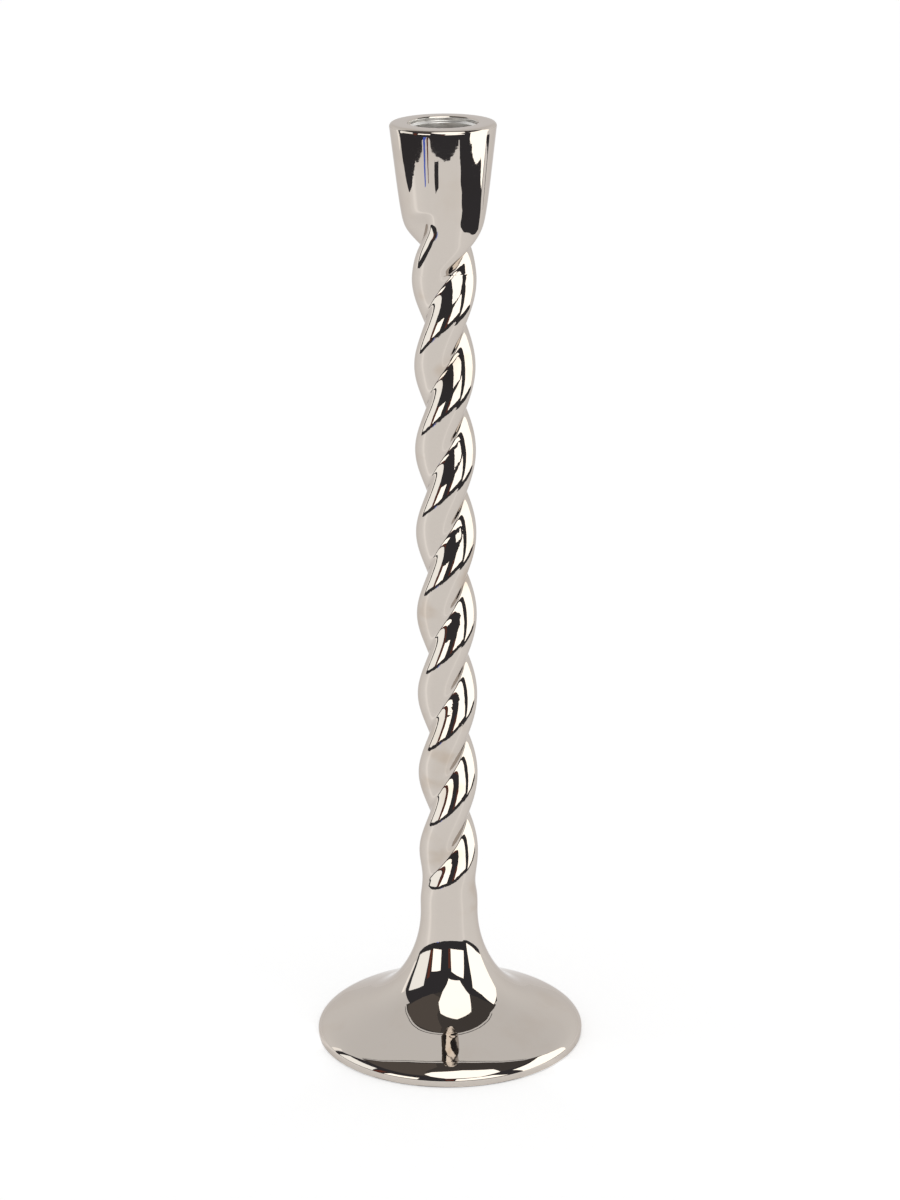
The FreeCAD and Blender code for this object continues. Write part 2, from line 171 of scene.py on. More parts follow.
def smooth_curve(x, xs, ys):
    """Values at x of a curve through (xs, ys) that never overshoots: cubic pieces with limited slopes."""
    step = np.diff(xs)
    rise = np.diff(ys) / step
    slope = np.zeros_like(ys)
    both = rise[:-1] * rise[1:] > 0
    mean = 2 * rise[:-1] * rise[1:] / np.where(both, rise[:-1] + rise[1:], 1)
    slope[1:-1] = np.where(both, mean, 0)
    slope[0], slope[-1] = rise[0], rise[-1]
    at = np.clip(np.searchsorted(xs, x) - 1, 0, len(step) - 1)
    t = (x - xs[at]) / step[at]
    start = (1 + 2 * t) * (1 - t) ** 2 * ys[at] + t * (1 - t) ** 2 * step[at] * slope[at]
    end = t * t * (3 - 2 * t) * ys[at + 1] - t * t * (1 - t) * step[at] * slope[at + 1]
    return start + end


def eased_curve(x, xs, ys, reach=2.2 * MM, samples=17):
    """The smooth curve averaged over a short reach both ways, so it bends evenly.

    Each sample counts by (1 - s^2)^2, where s is how far it lies along the reach, so the middle counts most.
    """
    shifts = np.linspace(-1, 1, samples)
    weights = (1 - shifts ** 2) ** 2
    points = np.clip(x[:, None] + reach * shifts, xs[0], xs[-1])
    return smooth_curve(points.ravel(), xs, ys).reshape(points.shape) @ weights / weights.sum()


def evenly_round(count):
    """Angles once round the axis, evenly apart."""
    return 2 * math.pi * np.arange(count) / count


def crowded_round(count):
    """Angles once round a strand pair, crowded towards the two grooves, which lie at 90 and 270 degrees."""
    even = evenly_round(count)
    return even + CROWDING * np.sin(2 * even)


def groove_share(angle):
    """How far the plain twist has sunk at an angle from a crown: 0 on the crown and 1 in the groove.

    A circle set off the axis reads offset * |cos| + sqrt(strand^2 - offset^2 sin^2) in polar form, where
    strand is its own radius. The absolute cosine is rounded near zero, which puts a small fillet in the
    bottom of each groove.
    """
    rounded = np.sqrt(np.cos(angle) ** 2 + FILLET_SHARE ** 2) - FILLET_SHARE
    scale = math.sqrt(1 + FILLET_SHARE ** 2) - FILLET_SHARE
    radius = STRAND_OFFSET * rounded / scale
    radius = radius + np.sqrt(STRAND_RADIUS ** 2 - (STRAND_OFFSET * np.sin(angle)) ** 2)
    crown = STRAND_RADIUS + STRAND_OFFSET
    groove = math.sqrt(STRAND_RADIUS ** 2 - STRAND_OFFSET ** 2)
    return np.clip((crown - radius) / (crown - groove), 0, 1)


def phase(z):
    """The first crown's azimuth at a height: an even twist, and a lead that comes and goes near the cup.

    There the strands first turn a little faster, then stand up straight as they run into the wall.
    """
    lead = eased_curve(np.ravel(z).astype(float), LEAD[:, 0], LEAD[:, 1]).reshape(np.shape(z))
    return math.pi / 2 + 2 * math.pi * (z - CROSSING) / TURN + lead


def rounded_outline(corners, steps):
    """Points of an outline whose corners are (radius, height, rounding): each rounding is a tangent arc."""
    points = []
    for i, (x, z, rounding) in enumerate(corners):
        corner = np.array((x, z))
        if not rounding:
            points.append(corner)
            continue
        back = np.array(corners[i - 1][:2]) - corner
        on = np.array(corners[(i + 1) % len(corners)][:2]) - corner
        back, on = back / np.linalg.norm(back), on / np.linalg.norm(on)
        half = math.acos(np.clip(back @ on, -1, 1)) / 2
        middle = corner + (back + on) / np.linalg.norm(back + on) * rounding / math.sin(half)
        first = corner + back * rounding / math.tan(half) - middle
        last = corner + on * rounding / math.tan(half) - middle
        sweep = math.acos(np.clip(first @ last / rounding ** 2, -1, 1))
        for t in np.linspace(0, 1, steps + 1):
            arc = first * math.sin((1 - t) * sweep) + last * math.sin(t * sweep)
            points.append(middle + arc / math.sin(sweep))
    return np.array(points)


def finer(points, longest):
    """The same outline with every straight run cut into pieces no longer than the given length."""
    out = [points[0]]
    for start, end in zip(points, points[1:]):
        pieces = max(1, math.ceil(np.linalg.norm(end - start) / longest))
        out.extend(start + (end - start) * k / pieces for k in range(1, pieces + 1))
    return np.array(out)


def skin(name, rows, surface, closed=False, low_pole=None, high_pole=None):
    """A mesh of rings: rows[j, i] is the point at step j along the outline and step i round the axis.

    Rings are joined by quads, round the axis always and from the last ring to the first if closed. A pole
    closes an end with a fan.
    """
    rings, columns = rows.shape[:2]
    ring = np.arange(rings if closed else rings - 1)[:, None]
    column = np.arange(columns)
    upper = (ring + 1) % rings
    right = (column + 1) % columns
    low_edge = ring * columns + column, ring * columns + right
    high_edge = upper * columns + right, upper * columns + column
    faces = np.stack(low_edge + high_edge, axis=-1).reshape(-1, 4).tolist()
    points = rows.reshape(-1, 3).tolist()
    if low_pole is not None:
        points.append(low_pole)
        faces += np.stack((right, column, np.full_like(column, len(points) - 1)), axis=-1).tolist()
    if high_pole is not None:
        points.append(high_pole)
        last = (rings - 1) * columns
        fan = (last + column, last + right, np.full_like(column, len(points) - 1))
        faces += np.stack(fan, axis=-1).tolist()
    mesh = bpy.data.meshes.new(name)
    mesh.from_pydata(points, [], faces)
    mesh.validate()
    mesh.shade_smooth()
    mesh.set_sharp_from_angle(angle=SHARP)
    mesh.materials.append(surface)
    piece = bpy.data.objects.new(name, mesh)
    bpy.context.scene.collection.objects.link(piece)
    return piece


def round_rows(outline, angles):
    """Rings of a turned shape: each outline point (radius, height) swept round the axis."""
    radius, height = np.array(outline).T[:, :, None]
    return np.stack((radius * np.cos(angles), radius * np.sin(angles), height + 0 * angles), axis=-1)


def twist_rows(heights, columns):
    """Rings of the strand pair: crown radius less groove depth times the groove's share to its power."""
    z = heights[:, None]
    depth, crown, power = (eased_curve(heights, STATIONS[:, 0], STATIONS[:, k])[:, None] for k in (1, 2, 3))
    radius = crown - depth * groove_share(columns) ** power
    angle = columns + phase(z)
    return np.stack((radius * np.cos(angle), radius * np.sin(angle), z + 0 * angle), axis=-1)


def make_stem(nickel):
    """The twisted stem: the strand pair, with a turned spigot and a tapped hole at each end."""
    columns = crowded_round(STEM_COLUMNS)
    heights = np.append(np.linspace(FOOT_TOP, CUP_LOW - EASED_HEIGHT, STEM_ROWS), CUP_LOW)
    twist = twist_rows(heights, columns)
    twist[-1, :, :2] *= EASED_SHARE
    low, high = FOOT_TOP - FOOT_SPIGOT_LENGTH, CUP_LOW + CUP_SPIGOT_LENGTH
    bottom = round_rows((
        (BOLT_HOLE_RADIUS, BOLT_HOLE_END),
        (BOLT_HOLE_RADIUS, low + HOLE_MOUTH),
        (BOLT_HOLE_RADIUS + HOLE_MOUTH, low),
        (FOOT_SPIGOT_RADIUS - SPIGOT_EDGE, low),
        (FOOT_SPIGOT_RADIUS, low + SPIGOT_EDGE),
        (FOOT_SPIGOT_RADIUS, FOOT_TOP),
        (NECK_FACE_RADIUS, FOOT_TOP),
    ), columns + phase(FOOT_TOP))
    top = round_rows((
        (STEM_FACE_RADIUS, CUP_LOW),
        (CUP_SPIGOT_RADIUS, CUP_LOW),
        (CUP_SPIGOT_RADIUS, high - SPIGOT_EDGE),
        (CUP_SPIGOT_RADIUS - SPIGOT_EDGE, high),
        (SCREW_MOUTH_RADIUS, high),
        (SCREW_HOLE_RADIUS, high - HOLE_MOUTH),
        (SCREW_HOLE_RADIUS, SCREW_HOLE_END),
    ), columns + phase(CUP_LOW))
    rows = np.concatenate((bottom, twist, top))
    low_tip = 0, 0, BOLT_HOLE_END + BOLT_HOLE_TIP
    high_tip = 0, 0, SCREW_HOLE_END - SCREW_HOLE_TIP
    return skin("twisted_stem_casting", rows, nickel, low_pole=low_tip, high_pole=high_tip)


def make_cup(nickel):
    """The candle cup: the strand pair as its root, then a turned wall, rim, socket and screw bore."""
    columns = crowded_round(CUP_COLUMNS)
    heights = np.insert(np.linspace(CUP_LOW + EASED_HEIGHT, ROOT_TOP, ROOT_ROWS), 0, CUP_LOW)
    root = twist_rows(heights, columns)
    root[0, :, :2] *= EASED_SHARE
    register_top = CUP_LOW + CUP_REGISTER_LENGTH
    wall = rounded_outline((
        (ROOT_TOP_RADIUS, ROOT_TOP, 0),
        (RIM_RADIUS, CUP_TOP, RIM_ROUNDING),
        (LIP_RADIUS + LIP_EASED_OUT, CUP_TOP, LIP_EASED_OUT),
        (LIP_RADIUS, CUP_TOP - LIP_EASED_DOWN, LIP_EDGE),
        (LIP_RADIUS, CUP_TOP - LIP_DEPTH, LIP_EDGE),
        (SOCKET_RADIUS, CUP_TOP - LIP_DEPTH - LEDGE_DROP, LIP_EDGE),
        (SOCKET_RADIUS, CUP_TOP - SOCKET_DEPTH, 0),
        (HEAD_BORE_RADIUS, CUP_TOP - SOCKET_DEPTH, SOCKET_EDGE),
        (HEAD_BORE_RADIUS, CUP_TOP - HEAD_BORE_DEPTH, 0),
        (SCREW_BORE_RADIUS, CUP_TOP - HEAD_BORE_DEPTH, 0),
        (SCREW_BORE_RADIUS, register_top, 0),
        (CUP_REGISTER_RADIUS, register_top, 0),
        (CUP_REGISTER_RADIUS, CUP_LOW, 0),
        (CUP_FACE_RADIUS, CUP_LOW, 0),
    ), steps=8)
    # The first point only gives the wall its slope: the root's last ring stands in its place.
    rest = round_rows(finer(wall, WALL_RUN)[1:], columns + phase(ROOT_TOP))
    return skin("candle_cup_casting", np.concatenate((root, rest)), nickel, closed=True)


def line_socket(cup, plate):
    """Give the socket's lip, wall and floor, which the polishing wheel doesn't reach, a satin plate. Its
    rougher finish is real, and its colour, lighter than the polished plate's, is painted light inside the
    socket.
    """
    mesh = cup.data
    centres = np.empty(len(mesh.polygons) * 3)
    mesh.polygons.foreach_get("center", centres)
    x, y, z = centres.reshape(-1, 3).T
    inside = (np.hypot(x, y) < SATIN_RADIUS) & (z > CUP_TOP - SATIN_END) & (z < CUP_TOP - SATIN_START)
    mesh.materials.append(plate)
    mesh.polygons.foreach_set("material_index", inside.astype(np.int32))


def rolled_edge(points=30):
    """The foot's rolled edge: one cubic curve from the apron to the upright edge, tangent to both.

    It is (1-t)^3 a + 3t(1-t)^2 b + 3t^2(1-t) c + t^3 d, with a and b on the apron's line, and c and d on the
    upright.
    """
    apron = (FOOT_KNEE - FOOT_CORNER) / np.linalg.norm(FOOT_KNEE - FOOT_CORNER)
    a, b = FOOT_CORNER + ROLL_START * apron, FOOT_CORNER + ROLL_PULL_IN * apron
    c, d = FOOT_CORNER - (0, ROLL_PULL_DOWN), FOOT_CORNER - (0, ROLL_END)
    t = np.linspace(0, 1, points)[:, None]
    return (1 - t) ** 3 * a + 3 * t * (1 - t) ** 2 * b + 3 * t ** 2 * (1 - t) * c + t ** 3 * d


def make_foot(nickel):
    """The foot, one outline turned round the axis: trumpet, apron, rolled edge and hollow underneath."""
    trumpet = rounded_outline((
        (FOOT_REGISTER_RADIUS, FOOT_TOP, 0),
        (NECK_RADIUS, FOOT_TOP, 0),
        (NECK_RADIUS, NECK_LOW, TRUMPET_BEND),
        (*FOOT_KNEE, KNEE_BEND),
        (*FOOT_CORNER, 0),
    ), steps=30)[:-1]
    hollow = rounded_outline((
        (FOOT_RADIUS, BASE + FOOT_LIP_LIFT, FOOT_LIP_EDGE),
        (FELT_CUT + FELT_GAP, BASE + FOOT_LIP_LIFT, FOOT_LIP_EDGE),
        (FELT_CUT + FELT_GAP, FELT_TOP, 0),
        (REBATE_RADIUS, FELT_TOP, 0),
        (REBATE_RADIUS, REBATE_TOP, 0),
        (HOLLOW_RADIUS, REBATE_TOP, 0),
        (*HOLLOW_KNEE, HOLLOW_BEND),
        (SEAT_RADIUS, SEAT_HEIGHT, 0),
        (BOLT_BORE_RADIUS, SEAT_HEIGHT, 0),
        (BOLT_BORE_RADIUS, FOOT_TOP - FOOT_REGISTER_DEPTH, 0),
        (FOOT_REGISTER_RADIUS, FOOT_TOP - FOOT_REGISTER_DEPTH, 0),
    ), steps=10)
    outline = np.concatenate((trumpet, rolled_edge(), hollow))[::-1]
    return skin("foot_casting", round_rows(outline, evenly_round(FOOT_COLUMNS)), nickel, closed=True)


def make_felt(felt):
    """The felt disc: a thin soft-edged outline turned round the axis, just inside the foot's lip."""
    outline = rounded_outline((
        (FELT_MIDDLE, BASE, 0),
        (FELT_CUT, BASE, FELT_EDGE),
        (FELT_CUT, FELT_TOP, FELT_EDGE),
        (FELT_MIDDLE, FELT_TOP, 0),
    ), steps=5)
    rows = round_rows(finer(outline, FELT_RUN), evenly_round(FELT_COLUMNS))
    return skin("felt_disc", rows, felt, low_pole=(0, 0, BASE), high_pole=(0, 0, FELT_TOP))


# Colours of the plate where it is polished, where it is satin, and where it has browned. The satin colour is
# lighter than polished nickel: painted light that brightens the socket's inside.
NICKEL = (0.58, 0.53, 0.482, 1)
SATIN_WITH_PAINTED_LIGHT = (0.86, 0.85, 0.83, 1)
TARNISH = (0.5, 0.42, 0.345, 1)
# The plate's tint where light grazes it.
GRAZING = (0.74, 0.715, 0.7, 1)
ZINC = (0.56, 0.57, 0.58, 1)
# How much of the finer noise the polish's waviness has.
FINE_SHARE = 0.16


def put(node, **settings):
    """Set a node's properties and input values by name, with _ for a space in an input's name."""
    for key, value in settings.items():
        if hasattr(node, key):
            setattr(node, key, value)
        else:
            node.inputs[key.replace("_", " ")].default_value = value
    return node


def add(tree, kind, **settings):
    """A new node in a tree, with its properties and input values set by name."""
    return put(tree.nodes.new(kind), **settings)


def node_group(name, inputs, output):
    """An empty shader node group with named number inputs and one named number output."""
    group = bpy.data.node_groups.new(name, "ShaderNodeTree")
    for socket in inputs:
        group.interface.new_socket(name=socket, in_out="INPUT", socket_type="NodeSocketFloat")
    group.interface.new_socket(name=output, in_out="OUTPUT", socket_type="NodeSocketFloat")
    return group, group.nodes.new("NodeGroupInput"), group.nodes.new("NodeGroupOutput")


def hand_polish_group():
    """Waviness left by hand polishing, in metres: slow noise and a share of finer noise, times Depth."""
    group, start, end = node_group("hand_polish", ["Depth"], "Height")
    place = add(group, "ShaderNodeTexCoord")
    slow = add(group, "ShaderNodeTexNoise", Scale=90.0, Detail=1.0)
    fine = add(group, "ShaderNodeTexNoise", Scale=420.0, Detail=1.5)
    # Input 0 times input 1, plus input 2.
    mix = add(group, "ShaderNodeMath", operation="MULTIPLY_ADD")
    mix.inputs[1].default_value = FINE_SHARE
    deep = add(group, "ShaderNodeMath", operation="MULTIPLY")
    link = group.links.new
    link(place.outputs["Object"], slow.inputs["Vector"])
    link(place.outputs["Object"], fine.inputs["Vector"])
    link(fine.outputs["Fac"], mix.inputs[0])
    link(slow.outputs["Fac"], mix.inputs[2])
    link(mix.outputs["Value"], deep.inputs[0])
    link(start.outputs["Depth"], deep.inputs[1])
    link(deep.outputs["Value"], end.inputs["Height"])
    return group


def patches_group(name, inputs, output, noise, spread):
    """Soft patches: noise spread between the two inputs, or from nought to the one."""
    group, start, end = node_group(name, inputs, output)
    place = add(group, "ShaderNodeTexCoord")
    patches = add(group, "ShaderNodeTexNoise", **noise)
    reach = add(group, "ShaderNodeMapRange", **spread)
    link = group.links.new
    link(place.outputs["Object"], patches.inputs["Vector"])
    link(patches.outputs["Fac"], reach.inputs["Value"])
    for socket, limit in zip(reversed(inputs), ("To Max", "To Min")):
        link(start.outputs[socket], reach.inputs[limit])
    link(reach.outputs["Result"], end.inputs[output])
    return group


def smudge_group():
    """Faint handling marks: large soft patches of a little more roughness, from Clean to Dull."""
    return patches_group("smudges", ["Clean", "Dull"], "Roughness",
                         {"Scale": 55.0, "Detail": 4.0, "Roughness": 0.6},
                         {"From_Min": 0.45, "From_Max": 0.8})


def tarnish_group():
    """Where the plate has browned a little: a few soft patches, as a mask from 0 to Most."""
    return patches_group("tarnish", ["Most"], "Mask",
                         {"Scale": 48.0, "Detail": 3.0, "Roughness": 0.55},
                         {"From_Min": 0.52, "From_Max": 0.74, "interpolation_type": "SMOOTHSTEP"})


def material(name):
    """A new node material, its tree and its Principled BSDF."""
    made = bpy.data.materials.new(name)
    made.use_nodes = True
    tree = made.node_tree
    shader = next(node for node in tree.nodes if node.type == "BSDF_PRINCIPLED")
    return made, tree, shader


def place_group(tree, group, **values):
    """A shared group placed in a material with its own values."""
    return put(add(tree, "ShaderNodeGroup", node_tree=group), **values)


def nickel_plate(name, groups, clean, dull, waviness, most, colour=NICKEL):
    """Nickel plate: a warm grey mirror with hand-polished waviness, handling marks and browned patches."""
    polish, smudges, tarnish = groups
    made, tree, shader = material(name)
    put(shader, Metallic=1.0, Specular_Tint=GRAZING)
    link = tree.links.new
    browned = place_group(tree, tarnish, Most=most)
    # The colour mix's inputs are its share, 0, and its two colours, 6 and 7; output 2 is a colour.
    tint = add(tree, "ShaderNodeMix", data_type="RGBA")
    tint.inputs[6].default_value = colour
    tint.inputs[7].default_value = TARNISH
    link(browned.outputs["Mask"], tint.inputs[0])
    link(tint.outputs[2], shader.inputs["Base Color"])
    marks = place_group(tree, smudges, Clean=clean, Dull=dull)
    link(marks.outputs["Roughness"], shader.inputs["Roughness"])
    wave = place_group(tree, polish, Depth=waviness)
    bump = add(tree, "ShaderNodeBump", Strength=1.0, Distance=1.0)
    link(wave.outputs["Height"], bump.inputs["Height"])
    link(bump.outputs["Normal"], shader.inputs["Normal"])
    return made


def zinc_steel(smudges):
    """Zinc-plated steel: a cooler, duller metal than the castings."""
    made, tree, shader = material("zinc_steel")
    put(shader, Base_Color=ZINC, Metallic=1.0)
    marks = place_group(tree, smudges, Clean=0.28, Dull=0.42)
    tree.links.new(marks.outputs["Roughness"], shader.inputs["Roughness"])
    return made


def fibrous(name, noise, dark, light, relief, finish):
    """A dull fibrous stuff: noise picks between two tones and raises a little relief."""
    made, tree, shader = material(name)
    put(shader, **finish)
    place = add(tree, "ShaderNodeTexCoord")
    fibres = add(tree, "ShaderNodeTexNoise", **noise)
    tones = add(tree, "ShaderNodeValToRGB")
    tones.color_ramp.elements[0].color = dark
    tones.color_ramp.elements[1].color = light
    bump = add(tree, "ShaderNodeBump", **relief)
    link = tree.links.new
    link(place.outputs["Object"], fibres.inputs["Vector"])
    link(fibres.outputs["Fac"], tones.inputs["Fac"])
    link(tones.outputs["Color"], shader.inputs["Base Color"])
    link(fibres.outputs["Fac"], bump.inputs["Height"])
    link(bump.outputs["Normal"], shader.inputs["Normal"])
    return made


def grey_board():
    """Pressed grey board: flecked fibres on a dull ground."""
    return fibrous("grey_board", {"Scale": 900.0, "Detail": 5.0, "Roughness": 0.7},
                   (0.1, 0.094, 0.085, 1), (0.26, 0.245, 0.22, 1),
                   {"Strength": 0.5, "Distance": 0.1 * MM}, {"Roughness": 0.9})


def black_felt():
    """Black wool felt: matted fibres with a soft sheen."""
    return fibrous("black_felt", {"Scale": 1500.0, "Detail": 6.0, "Roughness": 0.75},
                   (0.008, 0.009, 0.01, 1), (0.05, 0.052, 0.056, 1),
                   {"Strength": 0.8, "Distance": 0.2 * MM},
                   {"Roughness": 0.95, "Sheen_Weight": 0.4, "Sheen_Roughness": 0.5})


# The kinds of ray that see the tent and the table at their brightest.
SEEN_BY = ("Is Camera Ray", "Is Glossy Ray", "Is Transmission Ray")

# How bright the tent is for all other rays, and how it falls off towards the top for all but the camera: two
# heights of the looking direction, which is 0 when level and 1 when upright, with the brightness at each.
TENT = 0.85
FALL_FROM, FALL_TO = (0.2, 0.97), (0.75, 0.84)

# The table's edge in metres, from behind on the left, round the front, to behind on the right.
TABLE_EDGE = (
    (-3.0, 0.5), (-1.09, 0.386), (-0.964, 0.317), (-0.917, 0.2), (-0.852, 0.1), (-0.85, 0.02),
    (-0.846, -0.153), (-0.782, -0.322), (-0.72, -0.41), (-0.659, -0.491), (-0.612, -0.545),
    (-0.617, -0.62), (-0.66, -0.76), (-0.48, -0.81), (-0.405, -0.72), (-0.378, -0.7), (-0.3, -0.722),
    (-0.233, -0.738), (-0.14, -0.755), (-0.05, -0.761), (0.1, -0.752), (0.251, -0.73), (0.37, -0.696),
    (0.428, -0.673), (0.456, -0.66), (0.497, -0.705), (0.487, -0.635), (0.514, -0.583), (0.532, -0.5),
    (0.5, -0.4), (0.45, -0.375), (0.416, -0.365), (0.415, -0.34), (0.45, -0.22), (0.51, -0.12),
    (0.54, -0.04), (0.56, 0.12), (0.572, 0.267), (0.609, 0.41), (0.746, 0.412), (0.875, 0.362),
    (1.0, 0.4), (0.95, 0.57), (0.72, 0.585), (0.72, 0.6), (0.95, 0.64), (3.0, 1.0), (3.0, 3.0),
    (-3.0, 3.0),
)

# How much the table glows, by azimuth in degrees: two soft bands of light fall across it. Azimuth 0 is the
# camera's side, and grows to its right.
TABLE_BANDS = (
    (-90, 0.5), (-80, 0.66), (-69, 0.46), (-40, 0.42), (30, 0.42), (46, 0.45), (53, 0.56), (61, 0.44),
    (90, 0.42), (230, 0.42), (258, 0.44), (270, 0.5),
)
TABLE_COLOUR = (0.8, 0.8, 0.8, 1)
WHITE = (1, 1, 1, 1)

# The studio's dark room: distances of its wall and panes from the axis, and the height of its roof.
WALL, FAR_PANE, PANE, SCREEN, ROOF = 1.25, 1.1, 0.85, 0.86, 1.3
WALL_LOW = -0.8
WALL_PANES = 9

# The kinds of card in the room: colour and strength.
GLOWS = {
    "dark_room": ((0.047, 0.046, 0.052), 1.0),
    "brown_screen": ((0.16, 0.055, 0.04), 1.0),
    "dim_ceiling": ((0.078, 0.071, 0.068), 1.0),
    "grey_ceiling": ((0.125, 0.11, 0.1), 1.0),
    "blue_strip": ((0.12, 0.2, 0.85), 1.0),
    "window": ((1.0, 0.985, 0.94), 2.1),
    "softer_window": ((0.97, 0.99, 0.98), 1.5),
    "overhead_light": ((1.0, 0.99, 0.96), 2.0),
    "side_glow": ((1.0, 0.99, 0.97), 1.45),
}

# Upright panes: name, kind, distance, and corners as azimuth in degrees and height.
UPRIGHT_PANES = (
    ("room_far_left", "dark_room", WALL,
     ((-110, WALL_LOW), (-90, WALL_LOW), (-90, ROOF), (-96, ROOF), (-110, 0.6))),
    ("room_far_right", "dark_room", WALL,
     ((90, WALL_LOW), (110, WALL_LOW), (110, 1.0), (102, ROOF), (90, ROOF))),
    ("window_far_left", "softer_window", FAR_PANE, ((-104, 0.05), (-66, 0.09), (-69, 0.72), (-102, 0.64))),
    ("window_left", "window", FAR_PANE, ((-55.8, 0.08), (-27, 0.13), (-26.6, 0.51), (-52.5, 0.48))),
    ("window_middle", "window", FAR_PANE, ((3.5, 0.12), (47.8, 0.13), (38, 0.66), (5.4, 0.55))),
    ("window_right", "window", PANE,
     ((61, 0.006), (67, 0.009), (78, 0.02), (88, 0.03), (97, 0.04), (110, 0.03), (114, 0.38), (103.5, 0.85),
      (80, 0.74), (59.5, 0.65))),
    ("side_glow", "side_glow", PANE, ((-111, 0.07), (-116, 0.07), (-116, 0.45), (-111, 0.45))),
    ("screen_middle", "brown_screen", SCREEN, ((-4, 0.1), (3, 0.1), (3, 0.38), (-4, 0.38))),
    ("screen_left", "brown_screen", SCREEN, ((-66, 0.08), (-58, 0.08), (-56, 0.45), (-63, 0.45))),
)

# The roof's back edge, from right to left, and the dark rail that runs behind it.
ROOF_EDGE = (
    (0.89, 0.2), (0.52, 0.19), (0.3, 0.22), (0.1, 0.25), (-0.1, 0.25), (-0.36, 0.27), (-0.74, 0.22),
    (-1.24, 0.3),
)
RAIL_FROM, RAIL_TO = 0.043, 0.062

# Level cards: name, kind, height, and corners as x and y.
ON_TABLE = 0.002
LEVEL_CARDS = (
    ("room_roof", "dim_ceiling", ROOF, ((-1.3, -1.3), (1.3, -1.3), (1.3, 0.42), *ROOF_EDGE, (-1.3, 0.32))),
    ("roof_rail", "dark_room", ROOF,
     (*((x, y + RAIL_FROM) for x, y in ROOF_EDGE), *((x, y + RAIL_TO) for x, y in ROOF_EDGE[::-1]))),
    ("grey_ceiling", "grey_ceiling", ROOF - 0.01,
     ((-1.28, -0.9), (-0.35, -0.9), (-0.3, -0.3), (-0.12, 0.05), (-0.12, 0.22), (-1.2, 0.22))),
    ("under_table", "dark_room", -0.3, ((-2, -2), (2, -2), (2, 1.2), (-2, 1.2))),
    ("streak", "dark_room", ON_TABLE,
     ((-0.266, -0.714), (-0.145, -0.742), (-0.15, -0.7), (-0.2, -0.668), (-0.235, -0.65), (-0.25, -0.66),
      (-0.272, -0.69))),
)

# Strips of tape on the table: name, kind, and points along them as x, y and width.
TAPES = (
    ("strip_blue", "blue_strip",
     ((-0.538, -0.525, 0.034), (-0.545, -0.56, 0.058), (-0.552, -0.6, 0.074), (-0.633, -0.76, 0.14))),
    ("strip_brown", "brown_screen", ((-0.45, -0.6, 0.02), (-0.465, -0.66, 0.05), (-0.53, -0.79, 0.08))),
)
TAPE_ACROSS = np.array((0.72, -0.69))

# The sloping overhead light: its height at the panes' distance, how far it rises and comes in from there,
# the height on the axis it is seen from, and its corners as azimuth and elevation from that point.
LIGHT_LOW, LIGHT_RISE, LIGHT_IN, LIGHT_SEEN_FROM = 0.625, 0.555, 0.67, 0.03
LIGHT_CORNERS = (
    (-3.3, 31.9), (27, 31.9), (51, 45.3), (63.4, 64), (33, 79.5), (-32.4, 70.9), (-31, 56.8), (-19, 44.7),
)

# The camera, fitted to the photograph: its place in metres, its angles, and its focal length and shift in
# the photograph's pixels.
CAMERA_DISTANCE, CAMERA_HEIGHT = 1.1147, 0.53
CAMERA_PITCH, CAMERA_ROLL = math.radians(17.96), 0.00791
FOCAL_PIXELS, SHIFT_X_PIXELS, SHIFT_Y_PIXELS, PHOTO_PIXELS = 3277.8, 3.3, -0.7, 1200
SENSOR = 36.0


def bright_to(tree, path):
    """One where a ray of any kind in SEEN_BY arrives, and nought for the rest."""
    last = path.outputs[SEEN_BY[0]]
    for kind in SEEN_BY[1:]:
        either = add(tree, "ShaderNodeMath", operation="MAXIMUM")
        tree.links.new(last, either.inputs[0])
        tree.links.new(path.outputs[kind], either.inputs[1])
        last = either.outputs["Value"]
    return last


def emission(name, colour, strength):
    """A plain glowing material for the studio's cards."""
    made = bpy.data.materials.new(name)
    made.use_nodes = True
    tree = made.node_tree
    tree.nodes.clear()
    glow = add(tree, "ShaderNodeEmission", Color=(*colour, 1), Strength=strength)
    out = add(tree, "ShaderNodeOutputMaterial")
    tree.links.new(glow.outputs["Emission"], out.inputs["Surface"])
    return made


def flat_piece(name, points, surface):
    """A flat piece of the studio through the given points, in their order."""
    mesh = bpy.data.meshes.new(name)
    mesh.from_pydata([tuple(point) for point in points], [], [tuple(range(len(points)))])
    mesh.materials.append(surface)
    piece = bpy.data.objects.new(name, mesh)
    bpy.context.scene.collection.objects.link(piece)
    return piece


def card(name, points, glow):
    """A studio card that only the metal sees."""
    piece = flat_piece(name, points, glow)
    piece.visible_camera = False
    piece.visible_shadow = False
    piece.visible_diffuse = False


def around_room(azimuth, height, distance):
    """A point at a distance from the axis. Azimuth 0 is the camera's side, and grows to its right."""
    a = math.radians(azimuth)
    return distance * math.sin(a), -distance * math.cos(a), height


def overhead(azimuth, elevation):
    """A point of the sloping overhead light, seen from the foot at an azimuth and elevation.

    The light slopes up and in along a straight line, and the line of sight meets it where both have the
    same distance and height.
    """
    t = math.tan(math.radians(elevation))
    along = (PANE * t + LIGHT_SEEN_FROM - LIGHT_LOW) / (LIGHT_RISE + LIGHT_IN * t)
    return around_room(azimuth, LIGHT_LOW + LIGHT_RISE * along, PANE - LIGHT_IN * along)


def tape(name, line, glow):
    """A strip of tape on the table along (x, y, width) points."""
    line = np.array(line)
    half = TAPE_ACROSS * line[:, 2:] / 2
    sides = np.concatenate((line[:, :2] - half, (line[:, :2] + half)[::-1]))
    card(name, [(x, y, ON_TABLE) for x, y in sides.tolist()], glow)


